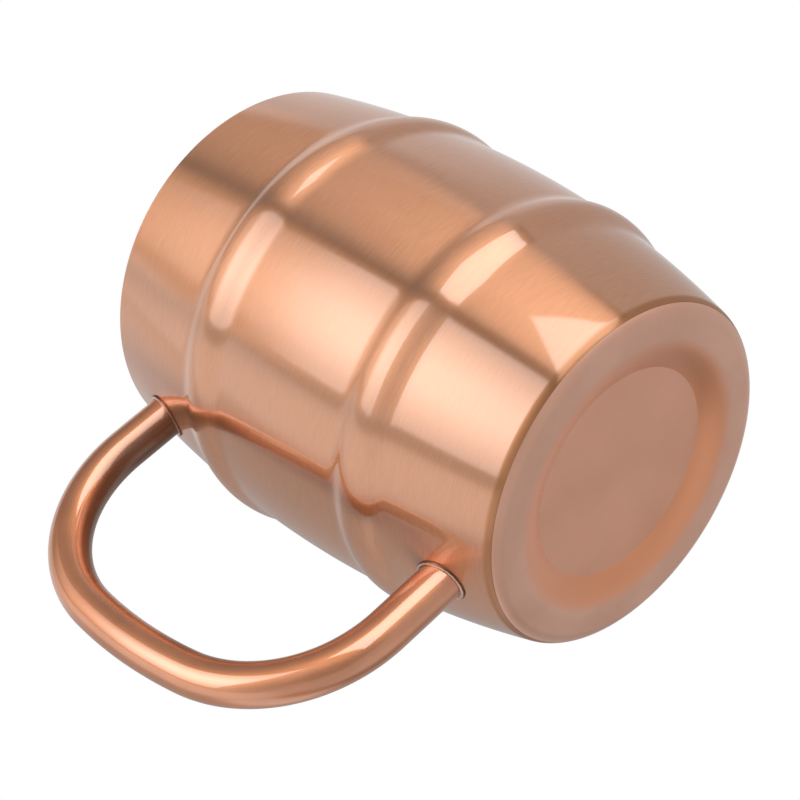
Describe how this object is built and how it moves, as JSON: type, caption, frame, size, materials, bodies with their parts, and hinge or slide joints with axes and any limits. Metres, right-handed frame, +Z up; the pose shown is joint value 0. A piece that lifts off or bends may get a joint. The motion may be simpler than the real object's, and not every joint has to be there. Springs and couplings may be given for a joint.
{
  "type": "mug",
  "caption": "Barrel-shaped copper mug with a double wall, rolled hoops and a bent round-tube handle.",
  "frame": {"origin": "under the middle of the mug and handle together, on the plane that the mug stands on", "axes": "+Z up along the mug's axis, +X from the mug towards its handle"},
  "size_m": [0.1316, 0.0894, 0.105],
  "materials": {
    "brushed_copper": "copper plated steel, fine brushing round the mug under clear lacquer",
    "frosted_copper": "copper plated steel, frosted matt",
    "polished_copper": "copper plated steel tube, polished under clear lacquer",
    "weld_copper": "copper plated weld bead, lightly rippled",
    "brushed_steel": "bare stainless steel, fine brushing round the cup"
  },
  "bodies": {
    "root": {"outer_shell": "brushed_copper", "base_plate": "frosted_copper", "inner_liner": "brushed_steel", "handle_tube": "polished_copper", "rim_weld": "brushed_copper", "base_weld": "weld_copper", "upper_handle_weld": "weld_copper", "lower_handle_weld": "weld_copper"}
  },
  "joints": []
}
